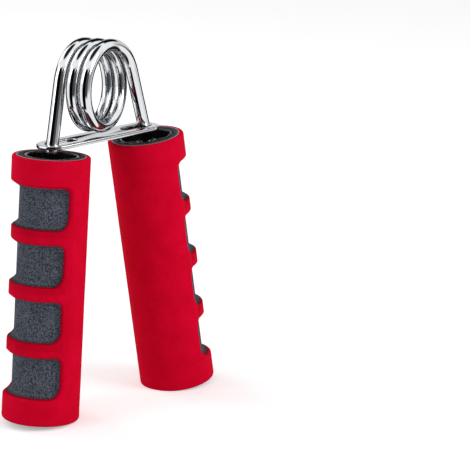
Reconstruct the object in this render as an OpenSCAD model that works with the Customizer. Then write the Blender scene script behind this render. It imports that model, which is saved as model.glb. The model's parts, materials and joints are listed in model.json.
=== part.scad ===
// Hand grip strengthener: one wound steel wire, a limiter plate, and two
// foam-covered handles. Millimetres, +Z up, standing on its handle ends.
// X runs from the left handle to the right one, Y along the coil's axis.

/* [Spring wire] */
// Diameter of the wire
wire_d = 5; // [4:0.1:5.2]
// Mean diameter of the coil, centre of wire to centre of wire
coil_d = 32.2; // [30:0.2:36]
// Distance along the coil's axis between the planes of the two legs
coil_w = 14.2; // [14.2:0.2:18]
// Outward lean of each leg between coil and limiter plate
leg_angle = 14; // [10:0.5:16]
// Length of each leg inside its handle
leg_seat = 55; // [30:1:80]

/* [Handle stance] */
// Outward lean of each handle
grip_angle = 5.5; // [4:0.5:7]
// Lean of legs and handles along the coil's axis, in opposite ways
toe_angle = 2.75; // [2:0.25:3.5]
// How far the foam is pressed flat where a handle stands on the floor
floor_press = 0.6; // [0.3:0.1:1]

/* [Foam sleeves] */
// Outside diameter of a handle
grip_d = 31; // [28:0.5:32]
// Length of a handle
grip_len = 106; // [100:1:120]
// Thickness of the red outer sleeve
skin_t = 1.7; // [1.2:0.1:2.2]
// Thickness of the grey inner sleeve, between the red one and the core
lining_t = 2.8; // [2.4:0.1:4]
// Radius of the outer sleeve's end edges
skin_edge_r = 1; // [0.5:0.1:1.1]

/* [Finger windows] */
// Number of windows in each handle
window_count = 4; // [3:1:4]
// Spacing of the windows along the handle
window_pitch = 22.5; // [21:0.5:24]
// Height of a window at the surface of the handle
window_h = 18.6; // [16:0.2:19]
// How much each window wall slopes inward, along the handle
window_slope = 2.4; // [1:0.2:3]
// Depth of the groove below the surface of the handle
window_depth = 3.5; // [2.5:0.1:4]
// How far the ridges between windows lie below the surface of the handle
ridge_drop = 0.8; // [0:0.1:1.2]
// Angle that a window covers around the handle
window_arc = 164; // [120:2:170]
// Turn of the windows from straight outward
window_turn = -16; // [-25:1:15]

/* [Handle core] */
// Wall of the core's open top cup
cup_wall = 1.4; // [1:0.1:2.5]
// Depth of the cup
cup_depth = 5; // [3:0.5:8]
// Diameter of the boss that holds the leg
boss_d = 9.2; // [8:0.2:11]
// How far the boss stops below the rim of the cup
boss_drop = 2; // [0.5:0.1:2.4]
// Number of ribs between boss and cup wall
rib_count = 6; // [3:1:8]
// Thickness of a rib
rib_t = 1.2; // [0.8:0.1:2]
// How far the ribs stop below the rim of the cup
rib_drop = 2.6; // [2:0.1:2.8]
// Gap round the leg in its bore
bore_clearance = 0.05; // [0.02:0.01:0.1]
// How far the core stops short of the handle's lower end
core_recess = 2; // [1.5:0.1:4]

/* [Limiter plate] */
// Thickness of the plate
plate_t = 1.5; // [1:0.1:2]
// Width of the plate
plate_w = 14.4; // [12:0.2:16]
// Plate left beyond each leg's centre
plate_end = 5.9; // [5.8:0.1:8]
// Height of the plate above the handle tops
plate_gap = 3; // [2:0.25:5]
// Height of the coil above the plate
coil_gap = 1.2; // [0.8:0.1:2]
// Length that each slot leaves for its leg's travel
slot_travel = 8.6; // [5.5:0.1:9]
// Gap round a leg in its slot
slot_clearance = 0.45; // [0.4:0.05:0.6]

/* [Hidden] */
$fn = 96;
eps = 0.01;

wire_r = wire_d / 2;
// Pieces of the wire stop a trim short of each other, inside a bead
trim = 0.3;
join_bead = 0.04;
trim_angle = trim / coil_d * 360 / PI;
coil_r = coil_d / 2;
grip_r = grip_d / 2;
skin_bore_r = grip_r - skin_t;
core_r = skin_bore_r - lining_t;

// The tilt of a handle's end face, from its two leans
end_tilt = acos(cos(grip_angle) * cos(toe_angle));
// Heights of the handle top's centre, the plate and the coil's axis
end_drop = (grip_r - skin_edge_r) * sin(end_tilt) + skin_edge_r * (1 - cos(end_tilt));
top_z = grip_len * cos(end_tilt) + end_drop - floor_press;
plate_z = top_z + plate_gap;
coil_z = plate_z + plate_t + coil_gap + wire_r + coil_r;

// Direction of a wire or handle that leans outward by a, for the right side
function lean(a) = [sin(a), -cos(a) * sin(toe_angle), -cos(a) * cos(toe_angle)];
// The point at height z on the line from p along direction v
function at_height(p, v, z) = p + v * ((z - p.z) / v.z);

// Where the coil hands over to a leg: end_y at the top of the turn
leg_arc_r = coil_r / cos(toe_angle);
end_y = coil_w / 2 - leg_arc_r * sin(toe_angle) * (1 - sin(leg_angle));
arc_y = -end_y - leg_arc_r * sin(toe_angle);
// Where the right leg leaves the coil, bends at the plate and enters the handle
leg_start = [
    leg_arc_r * cos(leg_angle),
    arc_y + leg_arc_r * sin(leg_angle) * sin(toe_angle),
    coil_z + leg_arc_r * sin(leg_angle) * cos(toe_angle)
];
leg_bend = at_height(leg_start, lean(leg_angle), plate_z);
grip_top = at_height(leg_bend, lean(grip_angle), top_z);
leg_in_plate = at_height(leg_start, lean(leg_angle), plate_z + plate_t / 2);

// The same leg in its own plane, where the coil's centre is the origin
function out(a) = [cos(a), sin(a)];
function along(a) = [sin(a), -cos(a)];
run_from = leg_arc_r * out(leg_angle);
run_l = norm(leg_bend - leg_start);
bend_at = run_from + run_l * along(leg_angle);
seat_l = norm(grip_top - leg_bend) + leg_seat;

// The coil is four half turns, each tilted so that it gains half a pitch
half_turns = 4;
half_pitch = 2 * end_y / half_turns;
turn_tilt = atan(half_pitch / coil_d);
turn_r = coil_r / cos(turn_tilt);

// The plate lies along the line between the two legs
plate_yaw = atan2(leg_in_plate.y, leg_in_plate.x);
leg_reach = norm([leg_in_plate.x, leg_in_plate.y]);
slot_r = wire_r + slot_clearance;

window_low_r = grip_r - window_depth;
window_cut_r = grip_r + 1;

bore_r = wire_r + bore_clearance;
cup_r = core_r - cup_wall;

// A straight round wire of length l from p, in the XY plane, towards along(a)
module wire_run(p, a, l) {
    translate(p)
        rotate([90, 0, a])
            cylinder(r = wire_r, h = l);
}

// A round wire bent on radius r in the XY plane, from angle a0 through sweep
module wire_arc(r, a0, sweep) {
    rotate([0, 0, a0])
        rotate_extrude(angle = sweep)
            translate([r, 0])
                circle(r = wire_r);
}

// The turns between the two legs
module spring_coil() {
    color("silver") {
        for (k = [0 : half_turns - 1])
            translate([0, end_y - (k + 0.5) * half_pitch, coil_z])
                half_turn(k, k == 0 || k == half_turns - 1 ? 0 : trim_angle);
        for (k = [1 : half_turns - 1])
            translate([0, end_y - k * half_pitch, coil_z + (k % 2 == 0 ? coil_r : -coil_r)])
                rotate([0, 90, 0])
                    join();
    }
}

// Half turn k, stopping short of its joins by trim_angle below and by
// top_trim above: even ones lie on the right, odd ones on the left
module half_turn(k, top_trim) {
    right = k % 2 == 0;
    rotate([90 + (right ? -1 : 1) * turn_tilt, 0, 0])
        wire_arc(turn_r, right ? trim_angle - 90 : 90 + top_trim, 180 - trim_angle - top_trim);
}

// The right leg, which lies in one plane: the last quarter turn, the
// straight to the plate, a bend, and the seat in the handle
module spring_leg() {
    color("silver")
        translate([0, arc_y, coil_z])
            rotate([90 - toe_angle, 0, 0]) {
                wire_arc(leg_arc_r, leg_angle + trim_angle, 90 - leg_angle - trim_angle);
                translate(run_from)
                    rotate([90, 0, leg_angle])
                        join();
                wire_run(run_from + trim * along(leg_angle), leg_angle, run_l - 2 * trim);
                translate(bend_at)
                    rotate([90, 0, (leg_angle + grip_angle) / 2])
                        join();
                wire_run(bend_at + trim * along(grip_angle), grip_angle, seat_l - trim);
            }
}

// What joins two pieces of wire along Z that stop short of each other
module join() {
    sphere(r = wire_r + join_bead);
}

// Two slots, wide enough for the legs to come together as the handles close
module limiter_plate() {
    color("gainsboro")
        translate([0, 0, plate_z])
            rotate([0, 0, plate_yaw])
                linear_extrude(plate_t)
                    difference() {
                        strip_outline(leg_reach + plate_end - plate_w / 2, plate_w / 2);
                        for (side = [0, 180])
                            rotate([0, 0, side])
                                translate([leg_reach - slot_travel / 2, 0])
                                    strip_outline(slot_travel / 2, slot_r);
                    }
}

// A strip with round ends of radius r, whose end centres are reach away
module strip_outline(reach, r) {
    square([2 * reach, 2 * r], center = true);
    for (side = [-1, 1])
        translate([side * reach, 0])
            circle(r = r);
}

// Moves a shape from the handle's own frame, whose origin is the centre of
// the handle's top with +X outward, to the right handle
module place_on_grip() {
    translate(grip_top)
        rotate([-toe_angle, 0, 0])
            rotate([0, -grip_angle, 0])
                children();
}

// Repeats a right-hand piece on the left, half a turn round
module left_side() {
    rotate([0, 0, 180])
        children();
}

// The plastic core: a bar with an open, ribbed cup at its top and a bored
// boss that takes the leg
module core() {
    color("#1b1b1d")
        place_on_grip()
            difference() {
                translate([0, 0, core_recess - grip_len])
                    cylinder(r = core_r, h = grip_len - core_recess);
                cup_space();
                translate([0, 0, -leg_seat - bore_clearance])
                    cylinder(r = bore_r, h = leg_seat + cup_depth);
            }
}

// What the cup leaves open round its boss and ribs
module cup_space() {
    difference() {
        translate([0, 0, -cup_depth])
            cylinder(r = cup_r, h = cup_depth + eps);
        translate([0, 0, -cup_depth - eps])
            cylinder(d = boss_d, h = cup_depth + eps - boss_drop);
        for (k = [0 : rib_count - 1])
            rotate([0, 0, (k + 0.5) * 360 / rib_count])
                translate([0, -rib_t / 2, -cup_depth - eps])
                    cube([core_r, rib_t, cup_depth + eps - rib_drop]);
    }
}

// The grey sleeve, grooved under each window
module inner_foam() {
    color("#4b5058")
        difference() {
            place_on_grip()
                difference() {
                    sleeve(skin_bore_r, core_r);
                    windows();
                }
            below_floor();
        }
}

// The red sleeve, open at each window
module outer_foam() {
    color("#c8102e")
        difference() {
            place_on_grip()
                difference() {
                    round_sleeve();
                    windows();
                }
            below_floor();
        }
}

// A plain sleeve as long as the handle
module sleeve(r_out, r_in) {
    translate([0, 0, -grip_len])
        difference() {
            cylinder(r = r_out, h = grip_len);
            translate([0, 0, -eps])
                cylinder(r = r_in, h = grip_len + 2 * eps);
        }
}

// A sleeve with rounded outer end edges
module round_sleeve() {
    edge_x = grip_r - skin_edge_r;
    rotate_extrude() {
        translate([skin_bore_r, -grip_len])
            square([edge_x - skin_bore_r, grip_len]);
        translate([skin_bore_r, skin_edge_r - grip_len])
            square([skin_t, grip_len - 2 * skin_edge_r]);
        for (z = [-skin_edge_r, skin_edge_r - grip_len])
            translate([edge_x, z])
                intersection() {
                    circle(r = skin_edge_r);
                    translate([0, -skin_edge_r])
                        square([skin_edge_r, 2 * skin_edge_r]);
                }
    }
}

// The cuts for the finger windows, centred on the handle's length, and the
// shallow one that lowers the ridges between them
module windows() {
    // The walls keep their slope beyond the surface
    spread = window_slope * (window_cut_r - grip_r) / window_depth;
    low_h = window_h - 2 * window_slope;
    cut_h = window_h + 2 * spread;
    span = (window_count - 1) * window_pitch;
    for (k = [0 : window_count - 1])
        window_turned(k * window_pitch - span / 2)
            polygon([
                [window_low_r, -low_h / 2], [window_cut_r, -cut_h / 2],
                [window_cut_r, cut_h / 2], [window_low_r, low_h / 2]
            ]);
    window_turned(0)
        translate([grip_r - ridge_drop, -span / 2])
            square([window_cut_r - grip_r + ridge_drop, span]);
}

// Sweeps a profile over the windows' arc, at height z from mid-handle
module window_turned(z) {
    translate([0, 0, z - grip_len / 2])
        rotate([0, 0, window_turn - window_arc / 2])
            rotate_extrude(angle = window_arc)
                children();
}

// Everything under the floor, where the foam is pressed flat
module below_floor() {
    reach = 4 * grip_len;
    translate([-reach / 2, -reach / 2, -grip_len])
        cube([reach, reach, grip_len]);
}

spring_coil();
limiter_plate();
left_side() spring_leg();  // left_spring_leg
left_side() core();  // left_core
left_side() inner_foam();  // left_inner_foam
left_side() outer_foam();  // left_outer_foam
spring_leg();  // right_spring_leg
core();  // right_core
inner_foam();  // right_inner_foam
outer_foam();  // right_outer_foam
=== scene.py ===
"""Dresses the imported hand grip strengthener: a bright coiled wire, a slotted
plate, and two handles of black core, grey foam and red foam with finger windows.

The lengths here are in millimetres until a mesh is made, and Blender's are metres.
A handle's own frame has its origin at the centre of its top, +X outward, -Z down it.
"""

import json
from functools import reduce
from math import atan2, ceil, cos, pi, radians, sin

import bpy
import bmesh
import numpy as np
from mathutils import Matrix, Vector


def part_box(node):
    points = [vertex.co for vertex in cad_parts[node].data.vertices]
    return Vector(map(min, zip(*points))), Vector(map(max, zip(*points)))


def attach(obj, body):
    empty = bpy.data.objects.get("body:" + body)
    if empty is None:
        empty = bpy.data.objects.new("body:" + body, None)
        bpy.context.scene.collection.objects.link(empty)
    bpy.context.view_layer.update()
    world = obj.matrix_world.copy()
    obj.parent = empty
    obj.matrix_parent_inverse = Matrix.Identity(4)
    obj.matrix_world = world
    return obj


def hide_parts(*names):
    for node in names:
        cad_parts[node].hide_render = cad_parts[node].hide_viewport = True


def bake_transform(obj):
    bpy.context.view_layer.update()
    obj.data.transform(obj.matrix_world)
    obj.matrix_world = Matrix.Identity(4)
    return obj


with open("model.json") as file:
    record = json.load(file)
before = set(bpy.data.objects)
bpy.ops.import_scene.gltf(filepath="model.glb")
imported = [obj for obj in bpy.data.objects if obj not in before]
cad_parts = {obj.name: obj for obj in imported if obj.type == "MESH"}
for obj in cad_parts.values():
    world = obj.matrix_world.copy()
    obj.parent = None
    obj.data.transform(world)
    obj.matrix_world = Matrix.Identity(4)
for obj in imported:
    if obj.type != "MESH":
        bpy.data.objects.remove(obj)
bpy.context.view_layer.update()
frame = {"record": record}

MM = 0.001

# ---------------------------------------------------------------- image points

# Pixels in the photograph's frame. An edge has only the coordinate that it settles.
PHOTO_W = 470
PHOTO_H = 470

# ---------------------------------------------------------------------- camera

CAMERA_AZIMUTH = radians(62.42)
CAMERA_ELEVATION = radians(14.61)
CAMERA_DISTANCE = 971.29
CAMERA_AIM = Vector((114.29, 0.0, 41.5))
CAMERA_ROLL = radians(-1.62)
SENSOR_WIDTH = 36.0
LENS = 165.1


def add_camera():
    back = Vector((
        -sin(CAMERA_AZIMUTH) * cos(CAMERA_ELEVATION),
        -cos(CAMERA_AZIMUTH) * cos(CAMERA_ELEVATION),
        sin(CAMERA_ELEVATION),
    ))
    right = Vector((0, 0, 1)).cross(back).normalized()
    up = back.cross(right)
    turned_right = cos(CAMERA_ROLL) * right + sin(CAMERA_ROLL) * up
    turned_up = cos(CAMERA_ROLL) * up - sin(CAMERA_ROLL) * right
    place = (CAMERA_AIM + CAMERA_DISTANCE * back) * MM
    data = bpy.data.cameras.new("camera")
    data.sensor_fit = "AUTO"
    data.sensor_width = SENSOR_WIDTH
    data.lens = LENS
    data.clip_end = 20
    camera = bpy.data.objects.new("camera", data)
    bpy.context.collection.objects.link(camera)
    turned = Matrix((turned_right, turned_up, back)).transposed().to_4x4()
    camera.matrix_world = Matrix.Translation(place) @ turned
    bpy.context.scene.camera = camera
    return camera


camera = add_camera()

# ------------------------------------------------------------------ dimensions

# The same driving dimensions as the CAD part
WIRE_R = 2.5
COIL_R = 16.1
COIL_W = 14.2
LEG_ANGLE = radians(14)
LEG_SEAT = 55.0
GRIP_ANGLE = radians(5.5)
TOE_ANGLE = radians(2.75)
GRIP_R = 15.5
GRIP_LEN = 106.0
SKIN_T = 1.7
LINING_T = 2.8
SKIN_EDGE_R = 1.0
WINDOW_COUNT = 4
WINDOW_PITCH = 22.5
WINDOW_H = 18.6
WINDOW_RUN = 2.4
WINDOW_DEPTH = 3.5
RIDGE_DROP = 0.8
WINDOW_HALF_ARC = radians(82)
WINDOW_TURN = radians(-16)
CUP_WALL = 1.4
CUP_DEPTH = 5.0
BOSS_R = 4.6
BOSS_DROP = 2.0
RIB_COUNT = 6
RIB_T = 1.2
RIB_DROP = 2.6
BORE_CLEARANCE = 0.05
CORE_RECESS = 2.0
PLATE_T = 1.5
PLATE_W = 14.4
PLATE_END = 5.9
PLATE_GAP = 3.0
SLOT_TRAVEL = 8.6
SLOT_CLEARANCE = 0.45

SKIN_BORE_R = GRIP_R - SKIN_T
CORE_R = SKIN_BORE_R - LINING_T
CORE_LEN = GRIP_LEN - CORE_RECESS


def lean(angle):
    """The direction, going down, of a right-hand wire or handle that leans outward by angle."""
    return Vector((sin(angle), -cos(angle) * sin(TOE_ANGLE), -cos(angle) * cos(TOE_ANGLE)))


def at_height(point, direction, z):
    return point + direction * ((z - point.z) / direction.z)


def middle_of(node):
    low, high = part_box(node)
    return (Vector(low) + Vector(high)) / 2 / MM


joints = {joint["name"]: joint for joint in frame["record"]["behaviour"]["joints"]}
COIL_Z = joints["left_squeeze"]["pos_m"][2] / MM
# A core is a plain bar, so its box is centred on its middle
GRIP_TOP = middle_of("right_core") - lean(GRIP_ANGLE) * CORE_LEN / 2
PLATE_Z = GRIP_TOP.z + PLATE_GAP
LEG_START = Vector((COIL_R * cos(LEG_ANGLE), -COIL_W / 2, COIL_Z + COIL_R * sin(LEG_ANGLE)))
LEG_BEND = at_height(GRIP_TOP, lean(GRIP_ANGLE), PLATE_Z)
LEG_IN_PLATE = LEG_BEND + (LEG_START - LEG_BEND) * (PLATE_T / 2 / (LEG_START.z - PLATE_Z))

RIGHT = Matrix.Identity(4)
LEFT = Matrix.Rotation(pi, 4, "Z")
SIDES = {"left": LEFT, "right": RIGHT}
ON_GRIP = (
    Matrix.Translation(GRIP_TOP)
    @ Matrix.Rotation(-TOE_ANGLE, 4, "X")
    @ Matrix.Rotation(-GRIP_ANGLE, 4, "Y")
)

# --------------------------------------------------------------------- meshes


SHARP_ANGLE = radians(35)


def add_piece(name, vertices, faces, place, tone=None):
    """A smooth-shaded object from points in millimetres, moved by place. A tone for
    each point, above 0 for paler and below 0 for darker, goes to its material."""
    mesh = bpy.data.meshes.new(name)
    moved = [place @ Vector(vertex) for vertex in vertices]
    mesh.from_pydata([vertex * MM for vertex in moved], [], faces)
    mesh.polygons.foreach_set("use_smooth", [True] * len(mesh.polygons))
    mesh.set_sharp_from_angle(angle=SHARP_ANGLE)
    if tone is not None:
        mesh.attributes.new("tone", "FLOAT", "POINT").data.foreach_set("value", tone)
    mesh.validate()
    mesh.update()
    piece = bpy.data.objects.new(name, mesh)
    bpy.context.collection.objects.link(piece)
    return piece


RAMP_SOFT = 0.12


def soft_ramp(t):
    """0 below t = 0 and 1 above t = 1, with both corners rounded off."""
    low = (t + RAMP_SOFT) ** 2 / (4 * RAMP_SOFT)
    high = 1 - (1 + RAMP_SOFT - t) ** 2 / (4 * RAMP_SOFT)
    ends = (-RAMP_SOFT, RAMP_SOFT, 1 - RAMP_SOFT, 1 + RAMP_SOFT)
    return np.select([t < end for end in ends], [0, low, t, high], 1)


def inside_box(x, y, half_x, half_y, corner):
    """How far a point lies inside a box with rounded corners. Outside, it is negative."""
    qx = np.abs(x) - half_x + corner
    qy = np.abs(y) - half_y + corner
    outer = np.hypot(np.maximum(qx, 0), np.maximum(qy, 0))
    return corner - outer - np.minimum(np.maximum(qx, qy), 0)


WAVE_COUNT = 9
WAVE_MOST_TURNS = 5
WAVE_PER_MM = (0.05, 0.35)


def waves(angle, down, seed):
    """Slow, smooth unevenness from -1 to 1, which closes on itself round the handle."""
    random = np.random.default_rng(seed)
    total = np.zeros(angle.shape)
    for _ in range(WAVE_COUNT):
        turns = random.integers(0, WAVE_MOST_TURNS + 1)
        along = random.uniform(*WAVE_PER_MM)
        total += np.sin(turns * angle + along * down + random.uniform(0, 2 * pi))
    return total / WAVE_COUNT


# The windows in the foam. At the surface they are larger than where the red ends.
RED_RUN = WINDOW_RUN * SKIN_T / WINDOW_DEPTH
WINDOW_HALF_W = GRIP_R * WINDOW_HALF_ARC + RED_RUN
WINDOW_SPAN = (WINDOW_COUNT - 1) * WINDOW_PITCH
WINDOW_UPPER_CORNER = 4.0
WINDOW_LOWER_CORNER = 6.0
# How much narrower each window is cut than the CAD's, on its far side, from the top down
WINDOW_TRIMS = (0.5, 2.0, 2.0, 1.2)
RIDGE_SOFT_RUN = 2.5
CREST_ROUND = 0.25


def from_windows(angle, down):
    """Where a point of the foam lies from the middle of all the windows: how far
    round the handle, and how far down it."""
    return GRIP_R * ((angle - WINDOW_TURN + pi) % (2 * pi) - pi), down - GRIP_LEN / 2


def foam_depth(angle, down):
    """How far the foam's surface lies below the plain cylinder, at an angle from
    outward and a distance down from the handle's top."""
    across, level = from_windows(angle, down)
    ridge_inside = inside_box(across, level, WINDOW_HALF_W, WINDOW_SPAN / 2, RIDGE_SOFT_RUN)
    ridge = RIDGE_DROP * soft_ramp(ridge_inside / RIDGE_SOFT_RUN)
    depth = ridge
    for k, trim in enumerate(WINDOW_TRIMS):
        from_middle = level - (k * WINDOW_PITCH - WINDOW_SPAN / 2)
        corner = np.where(from_middle > 0, WINDOW_LOWER_CORNER, WINDOW_UPPER_CORNER)
        half_w = WINDOW_HALF_W - trim / 2
        inside = inside_box(across + trim / 2, from_middle, half_w, WINDOW_H / 2, corner)
        depth = np.maximum(depth, WINDOW_DEPTH * soft_ramp(inside / WINDOW_RUN))
    # The ridges' crests are rounded where the window walls meet them
    closeness = np.maximum(ridge - np.abs(depth - ridge), 0)
    return depth + closeness * CREST_ROUND * (depth > ridge)


ROW_STEP = 0.4
COLUMNS = 216
EDGE_ROWS = 5


def foam_rows():
    """Distances down the handle, close together over the rounded end edges."""
    edge = [SKIN_EDGE_R * (1 - cos(k * pi / 2 / EDGE_ROWS)) for k in range(EDGE_ROWS)]
    count = ceil((GRIP_LEN - 2 * SKIN_EDGE_R) / ROW_STEP)
    middle = np.linspace(SKIN_EDGE_R, GRIP_LEN - SKIN_EDGE_R, count + 1)
    return np.concatenate([edge, middle, [GRIP_LEN - u for u in reversed(edge)]])


# How far the painted shade in the crease reaches from the red's edge, and how dark it is on each
# side of a window
CREASE_SHADE_REACH = 1.1
CREASE_SHADE_BELOW = 1.0
CREASE_SHADE_ABOVE = 0.25
CREASE_SHADE_BESIDE = 0.75


def painted_crease_shade(angle, down, radius):
    """How dark the painted shade in the crease is where a window meets the red, from 0 to 1.
    This shade is painted into the colour, and is darkest along a window's lower edge."""
    near = np.clip(1 - np.abs(radius - SKIN_BORE_R) / CREASE_SHADE_REACH, 0, 1)
    across, level = from_windows(angle, down)
    nearest = np.clip(np.round((level + WINDOW_SPAN / 2) / WINDOW_PITCH), 0, WINDOW_COUNT - 1)
    from_middle = level - (nearest * WINDOW_PITCH - WINDOW_SPAN / 2)
    to_side = WINDOW_HALF_W - np.abs(across)
    to_end = WINDOW_H / 2 - np.abs(from_middle)
    on_end = np.where(from_middle > 0, CREASE_SHADE_BELOW, CREASE_SHADE_ABOVE)
    share = np.clip((to_side - to_end) / WINDOW_LOWER_CORNER + 0.5, 0, 1)
    return near * (share * on_end + (1 - share) * CREASE_SHADE_BESIDE)


FOAM_WAVE = 0.07
# The foam's unevenness fades out over this last length at each end
WAVE_FADE = 3.0


def foam_grid(seed):
    """Angles, distances down and surface radii of a sleeve, as grids of rows and columns."""
    down, angle = np.meshgrid(foam_rows(), np.arange(COLUMNS) * 2 * pi / COLUMNS, indexing="ij")
    radius = GRIP_R - foam_depth(angle, down)
    to_end = np.minimum(down, GRIP_LEN - down)
    over = np.clip(1 - to_end / SKIN_EDGE_R, 0, 1)
    radius -= SKIN_EDGE_R * (1 - np.sqrt(1 - over**2))
    radius -= FOAM_WAVE * (1 + waves(angle, down, seed)) * np.clip(to_end / WAVE_FADE, 0, 1) / 2
    return angle, down, radius


def cylinder_point(angle, down, radius):
    return (radius * cos(angle), radius * sin(angle), -down)


def red_shell(seed):
    """The red sleeve: its surface where it lies above the grey foam, the bore
    behind it, and one shared rim round each window."""
    angle, down, radius = foam_grid(seed)
    # Painted shade along the windows' creases, passed to the material as a negative tone
    crease_shade = painted_crease_shade(angle, down, radius)
    rows, columns = radius.shape
    above = radius - SKIN_BORE_R
    vertices, tone = [], []
    outer, inner, rim = {}, {}, {}

    def surface_point(table, i, j, r):
        if (i, j) not in table:
            table[i, j] = len(vertices)
            vertices.append(cylinder_point(angle[i, j], down[i, j], r))
            tone.append(-crease_shade[i, j])
        return table[i, j]

    def rim_point(a, b):
        key = (min(a, b), max(a, b))
        if key not in rim:
            (i, j), (m, n) = key
            share = above[i, j] / (above[i, j] - above[m, n])
            turn = (angle[m, n] - angle[i, j] + pi) % (2 * pi) - pi
            rim[key] = len(vertices)
            vertices.append(cylinder_point(
                angle[i, j] + share * turn,
                down[i, j] + share * (down[m, n] - down[i, j]),
                SKIN_BORE_R,
            ))
            tone.append(-(crease_shade[i, j] + share * (crease_shade[m, n] - crease_shade[i, j])))
        return rim[key]

    faces = []
    for i in range(rows - 1):
        for j in range(columns):
            corners = [(i, j), (i + 1, j), (i + 1, (j + 1) % columns), (i, (j + 1) % columns)]
            if not any(above[c] > 0 for c in corners):
                continue
            front, back = [], []
            for a, b in zip(corners, corners[1:] + corners[:1]):
                if above[a] > 0:
                    front.append(surface_point(outer, *a, radius[a]))
                    back.append(surface_point(inner, *a, SKIN_BORE_R))
                if (above[a] > 0) != (above[b] > 0):
                    shared = rim_point(a, b)
                    front.append(shared)
                    back.append(shared)
            faces.append(front)
            faces.append(back[::-1])
    for i, flip in ((0, False), (rows - 1, True)):
        for j in range(columns):
            k = (j + 1) % columns
            face = [inner[i, j], outer[i, j], outer[i, k], inner[i, k]]
            faces.append(face[::-1] if flip else face)
    return vertices, faces, tone


LINING_EDGE_R = 0.4
# Each end face of the grey sleeve has a painted highlight round its edge, next to the red
HIGHLIGHT_LINE = 0.8
HIGHLIGHT_TONE = 1.0
# Inside that line it gets darker towards the core. Each row has a radius, a depth below
# the end and a tone.
END_SHAPE = (
    (SKIN_BORE_R - HIGHLIGHT_LINE, 0.0, -0.3),
    (CORE_R + LINING_EDGE_R, 0.0, -0.8),
    (CORE_R + 0.3 * LINING_EDGE_R, 0.3 * LINING_EDGE_R, -0.9),
    (CORE_R, LINING_EDGE_R, -0.9),
)


def grey_shell(seed):
    """The grey sleeve: the bottoms of the windows, and the bore round the core."""
    angle, down, radius = foam_grid(seed)
    # Painted shade along the windows' creases, passed to the material as a negative tone
    crease_shade = painted_crease_shade(angle, down, radius)
    rows, columns = radius.shape
    to_end = np.minimum(down, GRIP_LEN - down)
    radius = np.minimum(radius, SKIN_BORE_R)
    radius = np.where(to_end < SKIN_EDGE_R, SKIN_BORE_R, radius)
    rings = [[(angle[i, j], down[i, j], radius[i, j]) for j in range(columns)] for i in range(rows)]
    # The end rings carry the painted highlight, and the rows between them carry the painted crease shade
    tones = [[HIGHLIGHT_TONE] * columns, *(list(-row) for row in crease_shade[1:-1]), [HIGHLIGHT_TONE] * columns]
    top = [[(turn, dip, r) for turn in angle[0]] for r, dip, _ in END_SHAPE]
    bottom = [[(turn, GRIP_LEN - dip, r) for turn in angle[0]] for r, dip, _ in END_SHAPE]
    end_tones = [[tone] * columns for *_, tone in END_SHAPE]
    rings = top[::-1] + rings + bottom
    tones = end_tones[::-1] + tones + end_tones
    vertices = [cylinder_point(*point) for ring in rings for point in ring]
    tone = [value for ring in tones for value in ring]
    count = len(rings)
    faces = []
    for i in range(count):
        for j in range(columns):
            below, beside = (i + 1) % count, (j + 1) % columns
            faces.append([
                i * columns + j, below * columns + j, below * columns + beside, i * columns + beside
            ])
    return vertices, faces, tone


def press_on_floor(piece):
    """Foam below the floor is pressed flat on it."""
    for vertex in piece.data.vertices:
        vertex.co.z = max(vertex.co.z, 0.0)


LATHE_COLUMNS = 96


def lathe(profile):
    """A closed solid of revolution about Z from (radius, z) points that start and end on the axis."""
    vertices, faces, rings = [], [], []
    turns = [2 * pi * j / LATHE_COLUMNS for j in range(LATHE_COLUMNS)]
    for r, z in profile:
        if r == 0:
            rings.append([len(vertices)] * LATHE_COLUMNS)
            vertices.append((0, 0, z))
        else:
            rings.append(list(range(len(vertices), len(vertices) + LATHE_COLUMNS)))
            vertices += [(r * cos(turn), r * sin(turn), z) for turn in turns]
    for a, b in zip(rings, rings[1:]):
        for j in range(LATHE_COLUMNS):
            k = (j + 1) % LATHE_COLUMNS
            # Where a ring is one point on the axis, the face is a triangle
            faces.append(list(dict.fromkeys([a[j], a[k], b[k], b[j]])))
    return vertices, faces


CORE_ROUND = 0.6
CORE_ROUND_STEPS = 4
# A curve takes up at most this share of a side, so that two of them never meet
MOST_OF_SIDE = 1 / 2.1


def rounded(profile):
    """A profile with each corner between its ends replaced by a small curve."""
    result = [profile[0]]
    for before, corner, after in zip(profile, profile[1:], profile[2:]):
        corner = np.array(corner, float)
        ends = []
        for other in (before, after):
            side = np.array(other, float) - corner
            length = np.linalg.norm(side)
            ends.append(corner + side / length * min(CORE_ROUND, length * MOST_OF_SIDE))
        for t in np.linspace(0, 1, CORE_ROUND_STEPS + 1):
            result.append(tuple((1 - t) ** 2 * ends[0] + 2 * t * (1 - t) * corner + t**2 * ends[1]))
    return result + [profile[-1]]


def core_shell():
    """The core: a bar with an open cup at its top, the leg's bore in a boss, and ribs."""
    cup_r = CORE_R - CUP_WALL
    bore_r = WIRE_R + BORE_CLEARANCE
    vertices, faces = lathe(rounded([
        (0, -CORE_LEN),
        (CORE_R, -CORE_LEN),
        (CORE_R, 0),
        (cup_r, 0),
        (cup_r, -CUP_DEPTH),
        (BOSS_R, -CUP_DEPTH),
        (BOSS_R, -BOSS_DROP),
        (bore_r, -BOSS_DROP),
        (bore_r, -LEG_SEAT - BORE_CLEARANCE),
        (0, -LEG_SEAT - BORE_CLEARANCE),
    ]))
    for k in range(RIB_COUNT):
        add_rib(vertices, faces, (k + 0.5) * 2 * pi / RIB_COUNT, cup_r)
    return vertices, faces


RIB_SINK = 0.3
RIB_EDGE_STEPS = 4


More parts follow.
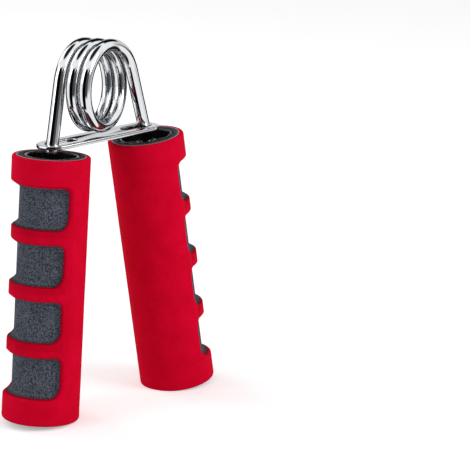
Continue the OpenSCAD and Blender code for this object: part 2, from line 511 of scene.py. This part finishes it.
def add_rib(vertices, faces, angle, cup_r):
    """A rib from boss to cup wall, with a rounded top edge, sunk a little into both."""
    half = RIB_T / 2
    section = [(-half, -CUP_DEPTH - RIB_SINK), (half, -CUP_DEPTH - RIB_SINK)]
    for k in range(RIB_EDGE_STEPS + 1):
        turn = pi * k / RIB_EDGE_STEPS
        section.append((half * cos(turn), half * (sin(turn) - 1) - RIB_DROP))
    base, count = len(vertices), len(section)
    for r in (BOSS_R - RIB_SINK, cup_r + RIB_SINK):
        for side, z in section:
            vertices.append((
                r * cos(angle) - side * sin(angle), r * sin(angle) + side * cos(angle), z
            ))
    for i in range(count):
        k = (i + 1) % count
        faces.append([base + i, base + count + i, base + count + k, base + k])
    faces.append([base + i for i in range(count)])
    faces.append([base + count + i for i in reversed(range(count))])


# ------------------------------------------------------------------- the wire

WIRE_SIDES = 40
HELIX_STEP = radians(3)
# Each half of the wire runs on inside the other past the middle of the coil
TENON_ANGLE = radians(14)
TENON_SLACK = 0.04
BEND_REACH = 1.6
BEND_STEPS = 6
LEG_STEPS = 9
# How far the right half of the wire is wound, from the top of the coil's middle
WINDING = pi / 2 - (LEG_ANGLE - 2 * pi)


def on_coil(turned, radius):
    """A point of the right half's coil, wound that far, at that distance from the axis."""
    along = -COIL_W / 2 * turned / WINDING
    return Vector((radius * sin(turned), along, COIL_Z + radius * cos(turned)))


def wire_path():
    """Points and radii of the right half of the wire, from inside the other half
    at the top of the coil to the end in the handle's core."""
    points, radii = [], []
    steps = ceil((WINDING + TENON_ANGLE) / HELIX_STEP)
    for turned in np.linspace(-TENON_ANGLE, WINDING, steps + 1):
        points.append(on_coil(turned, COIL_R))
        radii.append(WIRE_R - (TENON_SLACK if turned < 0 else 0))
    down_leg = (LEG_BEND - LEG_START).normalized()
    down_grip = lean(GRIP_ANGLE)
    bend_in = LEG_BEND - down_leg * BEND_REACH
    bend_out = LEG_BEND + down_grip * BEND_REACH
    for k in range(1, LEG_STEPS):
        points.append(LEG_START.lerp(bend_in, k / LEG_STEPS))
    for t in np.linspace(0, 1, BEND_STEPS + 1):
        points.append(bend_in.lerp(LEG_BEND, t).lerp(LEG_BEND.lerp(bend_out, t), t))
    points.append(GRIP_TOP + down_grip * LEG_SEAT)
    radii += [WIRE_R] * (len(points) - len(radii))
    return points, radii


def tube(points, radii):
    """A closed round tube along points, its rings kept from twisting."""
    sides = WIRE_SIDES
    vertices, faces = [], []
    tangents = []
    for before, after in zip(points[:1] + points, points[1:] + points[-1:]):
        tangents.append((after - before).normalized())
    normal = tangents[0].orthogonal().normalized()
    for point, tangent, radius in zip(points, tangents, radii):
        normal = (normal - tangent * normal.dot(tangent)).normalized()
        side = tangent.cross(normal)
        for j in range(sides):
            turn = 2 * pi * j / sides
            vertices.append(tuple(point + radius * (cos(turn) * normal + sin(turn) * side)))
    for i in range(len(points) - 1):
        for j in range(sides):
            k = (j + 1) % sides
            faces.append([i * sides + j, i * sides + k, (i + 1) * sides + k, (i + 1) * sides + j])
    faces.append(list(reversed(range(sides))))
    faces.append(list(range((len(points) - 1) * sides, len(points) * sides)))
    return vertices, faces


# ------------------------------------------------------------------ the plate

PLATE_ROUND = 0.3
PLATE_ROUND_STEPS = 3
PLATE_SHARP_ANGLE = radians(60)
ARC_STEPS = 28


def strip_outline(reach_low, reach_high, radius):
    """A strip along X with round ends, centred on reach_low and reach_high, going left round."""
    outline = []
    for centre, start in ((reach_high, -pi / 2), (reach_low, pi / 2)):
        for k in range(ARC_STEPS + 1):
            angle = start + pi * k / ARC_STEPS
            outline.append((centre + radius * cos(angle), radius * sin(angle)))
    return outline


def add_plate():
    """The plate, with its stamped edges rounded."""
    reach = LEG_IN_PLATE.xy.length
    yaw = atan2(LEG_IN_PLATE.y, LEG_IN_PLATE.x)
    half = reach + PLATE_END - PLATE_W / 2
    slot_r = WIRE_R + SLOT_CLEARANCE
    outlines = [
        strip_outline(-half, half, PLATE_W / 2),
        strip_outline(reach - SLOT_TRAVEL, reach, slot_r),
        strip_outline(-reach, -reach + SLOT_TRAVEL, slot_r),
    ]
    work = bmesh.new()
    for outline in outlines:
        ring = [work.verts.new((x, y, 0)) for x, y in outline]
        for a, b in zip(ring, ring[1:] + ring[:1]):
            work.edges.new((a, b))
    bmesh.ops.triangle_fill(work, edges=work.edges[:], use_beauty=True, normal=(0, 0, 1))
    grown = bmesh.ops.extrude_face_region(work, geom=work.faces[:])
    lifted = [item for item in grown["geom"] if isinstance(item, bmesh.types.BMVert)]
    bmesh.ops.translate(work, vec=(0, 0, PLATE_T), verts=lifted)
    bmesh.ops.recalc_face_normals(work, faces=work.faces[:])
    rims = [
        edge for edge in work.edges
        if len(edge.link_faces) == 2
        and edge.calc_face_angle() > PLATE_SHARP_ANGLE
        and abs(edge.verts[0].co.z - edge.verts[1].co.z) < PLATE_T / 2
    ]
    bmesh.ops.bevel(
        work, geom=rims, offset=PLATE_ROUND, segments=PLATE_ROUND_STEPS, profile=0.5, affect="EDGES",
    )
    vertices = [tuple(vertex.co) for vertex in work.verts]
    faces = [[vertex.index for vertex in face.verts] for face in work.faces]
    work.free()
    place = Matrix.Translation((0, 0, PLATE_Z)) @ Matrix.Rotation(yaw, 4, "Z")
    return add_piece("limiter_plate_bright", vertices, faces, place)


# ------------------------------------------------------------------ materials


class Shader:
    """A Principled material, with short ways to add the nodes that colour it."""

    def __init__(self, name):
        self.material = bpy.data.materials.new(name)
        self.material.use_nodes = True
        self.tree = self.material.node_tree
        self.principled = self.tree.nodes["Principled BSDF"]
        self.place = self.add("ShaderNodeTexCoord").outputs["Object"]

    def add(self, kind, **settings):
        node = self.tree.nodes.new(kind)
        for name, value in settings.items():
            setattr(node, name, value)
        return node

    def link(self, source, target):
        self.tree.links.new(source, target)

    def set(self, **values):
        for name, value in values.items():
            self.principled.inputs[name.replace("_", " ")].default_value = value

    def noise(self, size, detail=2.0, roughness=0.5, stretch=(1, 1, 1)):
        """Noise whose features are about size millimetres across, stretched by axis."""
        mapping = self.add("ShaderNodeMapping")
        mapping.inputs["Scale"].default_value = [1 / s for s in stretch]
        self.link(self.place, mapping.inputs["Vector"])
        node = self.add("ShaderNodeTexNoise")
        node.inputs["Scale"].default_value = 1 / (size * MM)
        node.inputs["Detail"].default_value = detail
        node.inputs["Roughness"].default_value = roughness
        self.link(mapping.outputs["Vector"], node.inputs["Vector"])
        return node.outputs["Fac"]

    def pores(self, size):
        node = self.add("ShaderNodeTexVoronoi", feature="SMOOTH_F1")
        node.inputs["Scale"].default_value = 1 / (size * MM)
        self.link(self.place, node.inputs["Vector"])
        return node.outputs["Distance"]

    def ramp(self, source, *stops):
        """Two colours or grey levels at positions along a source that goes from 0 to 1."""
        node = self.add("ShaderNodeValToRGB")
        for element, (position, colour) in zip(node.color_ramp.elements, stops):
            element.position = position
            element.color = (*colour, 1) if isinstance(colour, tuple) else (colour, colour, colour, 1)
        self.link(source, node.inputs["Fac"])
        return node.outputs["Color"]

    def mix(self, a, b, amount, blend="MIX"):
        """Two colours mixed by a number or by a source. The node's sockets for colours
        share their names with others, so they are taken by place."""
        node = self.add("ShaderNodeMix", data_type="RGBA", blend_type=blend)
        if isinstance(amount, float):
            node.inputs["Factor"].default_value = amount
        else:
            self.link(amount, node.inputs["Factor"])
        self.link(a, node.inputs[6])
        self.link(b, node.inputs[7])
        return node.outputs[2]

    def span(self, source, wanted, given):
        """A source's range of values moved to another range, and held at its ends."""
        node = self.add("ShaderNodeMapRange")
        for name, value in zip(("From Min", "From Max", "To Min", "To Max"), (*wanted, *given)):
            node.inputs[name].default_value = value
        self.link(source, node.inputs["Value"])
        return node.outputs["Result"]

    def colour(self, value):
        node = self.add("ShaderNodeRGB")
        node.outputs[0].default_value = (*value, 1)
        return node.outputs[0]

    def bump(self, *layers):
        """Bumps from (height source, depth in millimetres) pairs."""
        last = None
        for height, depth in layers:
            node = self.add("ShaderNodeBump")
            node.inputs["Distance"].default_value = depth * MM
            self.link(height, node.inputs["Height"])
            if last:
                self.link(last, node.inputs["Normal"])
            last = node.outputs["Normal"]
        self.link(last, self.principled.inputs["Normal"])


# How much of its colour the foam keeps where the mesh marks it as darkest, in the deepest painted shade
DARKEST_FOAM = 0.22


def foam(name, colours, pale, speckle, pore_depth, gloss):
    """Closed-cell foam: fine pores, a soft mottle, speckle where the cells catch light,
    and the darker and paler places that the mesh marks, among them painted shade in the window creases
    and a painted highlight round the grey's end faces."""
    shader = Shader(name)
    mottle = shader.ramp(shader.noise(7, detail=3), (0.3, colours[0]), (0.7, colours[1]))
    grain = shader.noise(0.6, detail=3, roughness=0.75)
    cells = shader.ramp(grain, (0.41, 1 - speckle), (0.59, 1.0))
    speckled = shader.mix(mottle, cells, 1.0, "MULTIPLY")
    # The mesh's tone paints darker places, the creases' painted shade among them, below 0, and a painted
    # highlight in the pale colour above 0
    tone = shader.add("ShaderNodeAttribute", attribute_name="tone").outputs["Fac"]
    darker = shader.span(tone, (-1.0, 0.0), (DARKEST_FOAM, 1.0))
    shaded = shader.mix(speckled, darker, 1.0, "MULTIPLY")
    paleness = shader.span(tone, (0.0, 1.0), (0.0, 1.0))
    paler = shader.mix(shaded, shader.colour(pale), paleness)
    shader.link(paler, shader.principled.inputs["Base Color"])
    dullness = shader.ramp(shader.noise(1.5), (0.3, 0.78), (0.7, 0.92))
    shader.link(dullness, shader.principled.inputs["Roughness"])
    shader.bump((shader.noise(2.5), 0.12), (shader.pores(0.7), pore_depth))
    shader.set(Specular_IOR_Level=gloss)
    return shader.material


def chrome(name, tint, roughness, ripple):
    """Bright plating, with faint wipe marks and a little unevenness under it."""
    shader = Shader(name)
    duller_tint = tuple(0.96 * level for level in tint)
    tone = shader.ramp(shader.noise(3, detail=3), (0.35, duller_tint), (0.65, tint))
    shader.link(tone, shader.principled.inputs["Base Color"])
    wipes = shader.noise(2.2, detail=4, stretch=(1, 1, 4))
    smear = shader.ramp(wipes, (0.4, roughness), (0.75, roughness + 0.03))
    shader.link(smear, shader.principled.inputs["Roughness"])
    shader.bump((shader.noise(6, detail=1), ripple))
    shader.set(Metallic=1.0)
    return shader.material


def moulded(name):
    """Black plastic, with a slight moulding ripple and a few dull patches."""
    shader = Shader(name)
    tone = shader.ramp(shader.noise(4), (0.3, (0.006, 0.006, 0.007)), (0.7, (0.012, 0.012, 0.013)))
    shader.link(tone, shader.principled.inputs["Base Color"])
    patches = shader.ramp(shader.noise(1.8, detail=4), (0.35, 0.12), (0.75, 0.28))
    shader.link(patches, shader.principled.inputs["Roughness"])
    shader.bump((shader.noise(2.5), 0.05))
    shader.set(Specular_IOR_Level=0.16)
    return shader.material


RED = foam(
    "red_foam",
    colours=((0.61, 0.0006, 0.019), (0.69, 0.001, 0.027)),
    pale=(0.7, 0.05, 0.06),
    speckle=0.06,
    pore_depth=0.10,
    gloss=0.03,
)
GREY = foam(
    "grey_foam",
    colours=((0.092, 0.107, 0.139), (0.128, 0.147, 0.188)),
    pale=(0.42, 0.42, 0.42),
    speckle=0.88,
    pore_depth=0.16,
    gloss=0.2,
)
WIRE = chrome("bright_wire", tint=(0.585, 0.60, 0.615), roughness=0.015, ripple=0.03)
PLATE = chrome("bright_plate", tint=(0.52, 0.54, 0.56), roughness=0.07, ripple=0.03)
BLACK = moulded("black_plastic")


def finish_piece(piece, material, node, body=None):
    piece.data.materials.append(material)
    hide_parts(*node)
    if body:
        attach(piece, body)


# --------------------------------------------------------------------- pieces

pieces = {}
FOAM_SEEDS = {"left": 3, "right": 8}

for side, place in SIDES.items():
    seed = FOAM_SEEDS[side]
    body = f"{side}_grip"

    vertices, faces, tone = red_shell(seed)
    red = add_piece(f"{side}_red_sleeve", vertices, faces, place @ ON_GRIP, tone=tone)
    press_on_floor(red)
    finish_piece(red, RED, [f"{side}_outer_foam"], body)

    vertices, faces, tone = grey_shell(seed)
    grey = add_piece(f"{side}_grey_sleeve", vertices, faces, place @ ON_GRIP, tone=tone)
    press_on_floor(grey)
    finish_piece(grey, GREY, [f"{side}_inner_foam"], body)

    core = add_piece(f"{side}_black_core", *core_shell(), place @ ON_GRIP)
    finish_piece(core, BLACK, [f"{side}_core"], body)

    wire = add_piece(f"{side}_wire_half", *tube(*wire_path()), place)
    nodes = [f"{side}_spring_leg"] + (["spring_coil"] if side == "right" else [])
    finish_piece(wire, WIRE, nodes)
    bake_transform(wire)

    pieces[side] = {"red": red, "grey": grey, "core": core, "wire": wire}

plate = add_plate()
finish_piece(plate, PLATE, ["limiter_plate"], "plate")

# ------------------------------------------------------------------ the studio

FLOOR_SIZE = 6.0
FLOOR_TONE = 0.86
FLOOR_GLOW = 0.36
WORLD_LIGHT = 0.5


def add_floor():
    """A pale floor, which bright metal doesn't mirror: it mirrors the cards below it."""
    mesh = bpy.data.meshes.new("floor")
    half = FLOOR_SIZE / 2
    mesh.from_pydata(
        [(-half, -half, 0), (half, -half, 0), (half, half, 0), (-half, half, 0)], [], [(0, 1, 2, 3)]
    )
    floor = bpy.data.objects.new("floor", mesh)
    bpy.context.collection.objects.link(floor)
    shader = Shader("floor")
    shader.set(Base_Color=(FLOOR_TONE, FLOOR_TONE, FLOOR_TONE, 1), Roughness=0.9, Specular_IOR_Level=0.0)
    path = shader.add("ShaderNodeLightPath")
    shader.principled.inputs["Emission Color"].default_value = (1, 1, 1, 1)
    seen = shader.span(path.outputs["Is Camera Ray"], (0.0, 1.0), (0.0, FLOOR_GLOW))
    shader.link(seen, shader.principled.inputs["Emission Strength"])
    mixed = shader.add("ShaderNodeMixShader")
    shader.link(path.outputs["Is Glossy Ray"], mixed.inputs[0])
    shader.link(shader.principled.outputs[0], mixed.inputs[1])
    shader.link(shader.add("ShaderNodeBsdfTransparent").outputs[0], mixed.inputs[2])
    shader.link(mixed.outputs[0], shader.tree.nodes["Material Output"].inputs["Surface"])
    mesh.materials.append(shader.material)


def add_lamp(name, place, aim, size, power):
    data = bpy.data.lights.new(name, "AREA")
    data.shape = "RECTANGLE"
    data.size, data.size_y = size
    data.energy = power
    lamp = bpy.data.objects.new(name, data)
    bpy.context.collection.objects.link(lamp)
    lamp.location = place
    lamp.rotation_euler = (Vector(aim) - Vector(place)).to_track_quat("-Z", "Y").to_euler()


# What bright metal mirrors: a white tent with darker cards round it, as a studio has.
# Each card has a heading and half width round the horizon, counted in degrees from
# the photograph's viewing side and to its right, the elevations where it starts and
# ends, how soft its edges are, and its tone. One that goes all the way round has no
# sides, and one that ends overhead or underfoot has no edge there.
TENT_TONE = 1.4
CARDS = [
    (0, 180, 65, 90, 6, 0.02),
    (178, 62, 3, 18, 4, 0.92),
    (0, 180, -90, -56, 8, 0.02),
    (62, 38, -13, 12, 10, 0.52),
    (178, 62, -60, 2, 6, 0.02),
    (-140, 30, -20, 38, 8, 0.03),
    (168, 36, 19, 54, 6, 0.01),
    (16, 28, -22, 32, 10, 0.10),
    (-22, 29, -50, 44, 6, 0.003),
]


class Studio:
    """The world, with ways to add the nodes that shade what is mirrored in it."""

    def __init__(self):
        world = bpy.data.worlds.new("studio")
        world.use_nodes = True
        bpy.context.scene.world = world
        self.tree = world.node_tree
        self.tree.nodes.clear()
        self.direction = self.tree.nodes.new("ShaderNodeTexCoord").outputs["Generated"]
        flat = self.vector("MULTIPLY", self.direction, (1, 1, 0))
        self.across = self.vector("NORMALIZE", flat, (0, 0, 0))
        split = self.tree.nodes.new("ShaderNodeSeparateXYZ")
        self.tree.links.new(self.direction, split.inputs[0])
        self.height = split.outputs["Z"]

    def vector(self, operation, source, value):
        node = self.tree.nodes.new("ShaderNodeVectorMath")
        node.operation = operation
        self.tree.links.new(source, node.inputs[0])
        node.inputs[1].default_value = value
        return node.outputs["Value" if operation == "DOT_PRODUCT" else "Vector"]

    def step(self, source, start, end):
        """0 before start and 1 after end, which may also lie the other way."""
        node = self.tree.nodes.new("ShaderNodeMapRange")
        node.interpolation_type = "SMOOTHSTEP"
        node.inputs["From Min"].default_value = min(start, end)
        node.inputs["From Max"].default_value = max(start, end)
        node.inputs["To Min"].default_value = 0.0 if start < end else 1.0
        node.inputs["To Max"].default_value = 1.0 if start < end else 0.0
        self.tree.links.new(source, node.inputs["Value"])
        return node.outputs["Result"]

    def product(self, a, b):
        node = self.tree.nodes.new("ShaderNodeMath")
        node.operation = "MULTIPLY"
        self.tree.links.new(a, node.inputs[0])
        self.tree.links.new(b, node.inputs[1])
        return node.outputs["Value"]

    def card(self, shade, heading, half_width, low, high, soft, tone):
        turn = CAMERA_AZIMUTH - radians(heading)
        facing = self.vector("DOT_PRODUCT", self.across, (-sin(turn), -cos(turn), 0))
        half, edge, low, high = (radians(value) for value in (half_width, soft / 2, low, high))
        masks = []
        if half < pi:
            masks.append(self.step(facing, cos(half + edge), cos(half - edge)))
        if low > -pi / 2:
            masks.append(self.step(self.height, sin(low - edge), sin(low + edge)))
        if high < pi / 2:
            masks.append(self.step(self.height, sin(high + edge), sin(high - edge)))
        mixed = self.tree.nodes.new("ShaderNodeMix")
        self.tree.links.new(reduce(self.product, masks), mixed.inputs["Factor"])
        if shade is None:
            mixed.inputs["A"].default_value = TENT_TONE
        else:
            self.tree.links.new(shade, mixed.inputs["A"])
        mixed.inputs["B"].default_value = tone
        return mixed.outputs["Result"]

    def background(self, strength):
        node = self.tree.nodes.new("ShaderNodeBackground")
        node.inputs["Color"].default_value = (1, 1, 1, 1)
        if isinstance(strength, float):
            node.inputs["Strength"].default_value = strength
        else:
            self.tree.links.new(strength, node.inputs["Strength"])
        return node.outputs[0]

    def choose(self, by, no, yes):
        node = self.tree.nodes.new("ShaderNodeMixShader")
        for source, target in zip((by, no, yes), node.inputs):
            self.tree.links.new(source, target)
        return node.outputs[0]


def add_world():
    studio = Studio()
    shade = None
    for card in CARDS:
        shade = studio.card(shade, *card)
    path = studio.tree.nodes.new("ShaderNodeLightPath")
    lit = studio.choose(
        path.outputs["Is Glossy Ray"], studio.background(WORLD_LIGHT), studio.background(shade)
    )
    seen = studio.choose(path.outputs["Is Camera Ray"], lit, studio.background(1.0))
    output = studio.tree.nodes.new("ShaderNodeOutputWorld")
    studio.tree.links.new(seen, output.inputs["Surface"])


add_floor()
add_world()
add_lamp("key", (0.05, -1.25, 0.75), (0, 0, 0.08), (0.7, 0.7), 9)
add_lamp("fill", (-0.85, 0.78, 0.7), (0, 0, 0.08), (0.7, 0.7), 4)
add_lamp("back", (0.26, 1.17, 0.85), (0, 0, 0.08), (0.7, 0.6), 4)
bpy.context.scene.view_settings.view_transform = "Standard"

# ---------------------------------------------------------- where things show

LONG_SIDE = max(PHOTO_W, PHOTO_H)


def in_photo(point):
    """Where a point in metres shows, in the photograph's pixels."""
    seen = camera.matrix_world.inverted() @ Vector(point)
    scale = LONG_SIDE * LENS / SENSOR_WIDTH / -seen.z
    return PHOTO_W / 2 + seen.x * scale, PHOTO_H / 2 - seen.y * scale


SILHOUETTE_SAMPLES = 180
EYE_SAMPLES = 81
# How far round the coil, each way, its eye's highest and lowest points are looked for
EYE_SEARCH = 1.0


def shown_extent(objects):
    """The least and most x, and the least and most y, at which the vertices show."""
    pixels = [in_photo(o.matrix_world @ v.co) for o in objects for v in o.data.vertices]
    xs, ys = [p[0] for p in pixels], [p[1] for p in pixels]
    return min(xs), max(xs), min(ys), max(ys)


def handle_edge(side, down, outward):
    """The silhouette point of a handle, down it by that much, on its outward side in the view."""
    place = SIDES[side] @ ON_GRIP
    ring = [
        in_photo(place @ Vector(cylinder_point(a, down, GRIP_R - RIDGE_DROP)) * MM)
        for a in np.linspace(0, 2 * pi, SILHOUETTE_SAMPLES)
    ]
    return (min if outward < 0 else max)(ring)


def eye_point(top):
    """The highest or lowest point that the view shows of the front turn's inner edge."""
    middle = 2 * pi if top else pi
    inner = COIL_R - WIRE_R
    shown = [
        in_photo(on_coil(turned, inner) * MM)
        for turned in np.linspace(middle - EYE_SEARCH, middle + EYE_SEARCH, EYE_SAMPLES)
    ]
    return (min if top else max)(shown, key=lambda p: p[1])


def write_points():
    every = [o for group in pieces.values() for o in group.values()] + [plate]
    low_x, _, low_y, high_y = shown_extent(every)
    plate_low, plate_high = (
        f(([*in_photo(v.co)] for v in plate.data.vertices), key=lambda p: p[0]) for f in (min, max)
    )
    ridge_downs = [GRIP_LEN / 2 + (k - 1) * WINDOW_PITCH for k in range(WINDOW_COUNT - 1)]
    shown = {
        "left_edge": (low_x, None),
        "top_edge": (None, low_y),
        "bottom_edge": (None, high_y),
        "left_handle_top": in_photo(LEFT @ GRIP_TOP * MM),
        "right_handle_top": in_photo(GRIP_TOP * MM),
        "plate_left_tip": plate_low,
        "plate_right_tip": plate_high,
        "coil_eye_top": eye_point(True),
        "coil_eye_bottom": eye_point(False),
    }
    for k, down in enumerate(ridge_downs, 1):
        shown[f"left_ridge_{k}"] = handle_edge("left", down, -1)


write_points()
